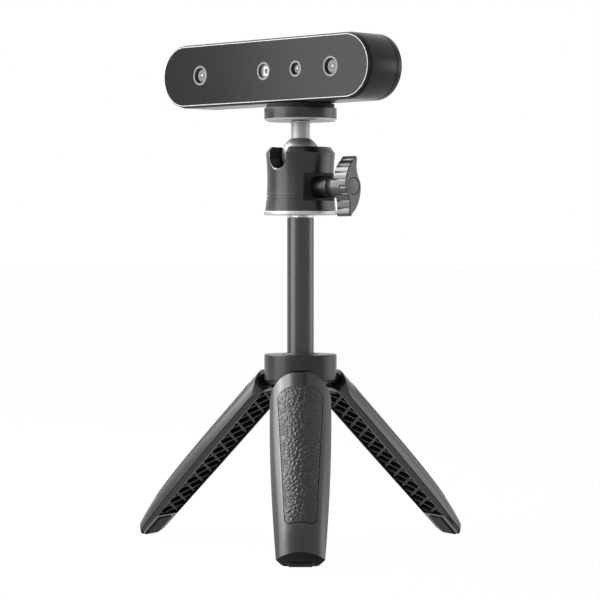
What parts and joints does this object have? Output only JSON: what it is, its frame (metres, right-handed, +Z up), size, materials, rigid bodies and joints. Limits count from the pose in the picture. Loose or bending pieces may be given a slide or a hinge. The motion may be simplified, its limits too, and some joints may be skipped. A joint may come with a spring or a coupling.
{
  "type": "structured-light scanner on mini tripod",
  "caption": "Bar-shaped depth scanner with round ends, screwed to a ball head on a sliding column above a folding tripod with arched legs.",
  "frame": {"origin": "middle of the footprint's bounding box, on the surface that the feet stand on", "axes": "+Z up along the column; the front leg points along -Y; the scanner's window faces between -X and -Y"},
  "size_m": [0.1534, 0.1512, 0.2337],
  "materials": {
    "scanner_shell": "black anodised, satin",
    "bright_edge": "cut bright, satin",
    "window_glass": "tinted, polished",
    "lens_glass": "coated, polished",
    "projector_glass": "polished",
    "module_black": "matte",
    "bench_metal": "milled",
    "board_green": "solder mask",
    "pad_grey": "soft",
    "steel": "turned",
    "polished_steel": "polished",
    "brass": "turned",
    "head_black": "black anodised, satin",
    "bright_ring": "turned bright",
    "cup_plastic": "natural",
    "knob_plastic": "moulded",
    "rubber_black": "matte",
    "leg_plastic": "moulded, satin",
    "grip_grain": "leather grain"
  },
  "bodies": {
    "hub": {"hub": "head_black", "hub_retainer": "leg_plastic", "column_bush": "knob_plastic", "retainer_screw_front": "steel", "retainer_screw_left": "steel", "retainer_screw_right": "steel", "hinge_pin_front": "steel", "hinge_pin_left": "steel", "hinge_pin_right": "steel"},
    "leg_front": {"leg_shell_front": "leg_plastic", "grip_pad_front": "grip_grain", "foot_pad_front": "rubber_black"},
    "leg_left": {"leg_shell_left": "leg_plastic", "grip_pad_left": "grip_grain", "foot_pad_left": "rubber_black"},
    "leg_right": {"leg_shell_right": "leg_plastic", "grip_pad_right": "grip_grain", "foot_pad_right": "rubber_black"},
    "column": {"column_tube": "head_black", "column_plug": "steel", "column_stop": "knob_plastic", "base_ring": "bright_ring", "pan_nut": "steel"},
    "head": {"head_housing": "head_black", "head_base": "steel", "friction_cup": "cup_plastic"},
    "clamp": {"clamp_tip": "brass"},
    "knob": {"wing_knob": "knob_plastic", "knob_cap": "knob_plastic", "clamp_screw": "steel", "knob_seal": "rubber_black", "knob_washer": "bright_ring"},
    "ball": {"ball_stem": "polished_steel"},
    "scanner": {"top_plate": "head_black", "rubber_pad": "rubber_black", "mount_screw": "steel", "mount_insert": "steel", "scanner_housing": "scanner_shell", "rear_cover": "scanner_shell", "front_bezel": "bright_edge", "front_window": "window_glass", "rear_gasket": "rubber_black", "optical_bench": "bench_metal", "ir_camera_left": "module_black", "ir_camera_right": "module_black", "colour_camera": "module_black", "pattern_projector": "module_black", "ir_lens_left": "lens_glass", "ir_lens_right": "lens_glass", "colour_lens": "lens_glass", "projector_window": "projector_glass", "main_board": "board_green", "thermal_pad": "pad_grey", "heat_spreader": "bench_metal", "usb_port": "steel", "bench_screw_left": "steel", "bench_screw_right": "steel", "cover_screw_left": "steel", "cover_screw_right": "steel"}
  },
  "joints": [
    {"name": "leg_fold_front", "type": "hinge", "parent": "hub", "child": "leg_front", "pos_m": [0, -0.00127, 0.07853], "axis": [1, 0, 0], "range_deg": [0, 44.4]},
    {"name": "leg_fold_left", "type": "hinge", "parent": "hub", "child": "leg_left", "pos_m": [-0.01022, 0.01643, 0.07853], "axis": [-0.5, -0.866, 0], "range_deg": [0, 44.4]},
    {"name": "leg_fold_right", "type": "hinge", "parent": "hub", "child": "leg_right", "pos_m": [0.01022, 0.01643, 0.07853], "axis": [-0.5, 0.866, 0], "range_deg": [0, 44.4]},
    {"name": "column_slide", "type": "slide", "parent": "hub", "child": "column", "axis": [0, 0, 1], "range_m": [-0.063, 0]},
    {"name": "head_pan", "type": "hinge", "parent": "column", "child": "head", "pos_m": [0, 0.01053, 0.165], "axis": [0, 0, 1], "continuous": true},
    {"name": "ball_tilt", "type": "hinge", "parent": "head", "child": "ball", "pos_m": [0, 0.01053, 0.18073], "axis": [0.7071, -0.7071, 0], "range_deg": [-30, 80]},
    {"name": "scanner_spin", "type": "hinge", "parent": "ball", "child": "scanner", "pos_m": [0, 0.01053, 0.2], "axis": [0, 0, 1], "continuous": true},
    {"name": "clamp_travel", "type": "slide", "parent": "head", "child": "clamp", "axis": [0.7071, -0.7071, 0], "range_m": [0, 0.0008]},
    {"name": "knob_turn", "type": "hinge", "parent": "clamp", "child": "knob", "pos_m": [0, 0.01053, 0.16593], "axis": [0.7071, -0.7071, 0], "range_deg": [0, 360]}
  ],
  "couplings": [
    {"joint": "clamp_travel", "follows": "knob_turn", "m_per_rad": 0.000127}
  ]
}
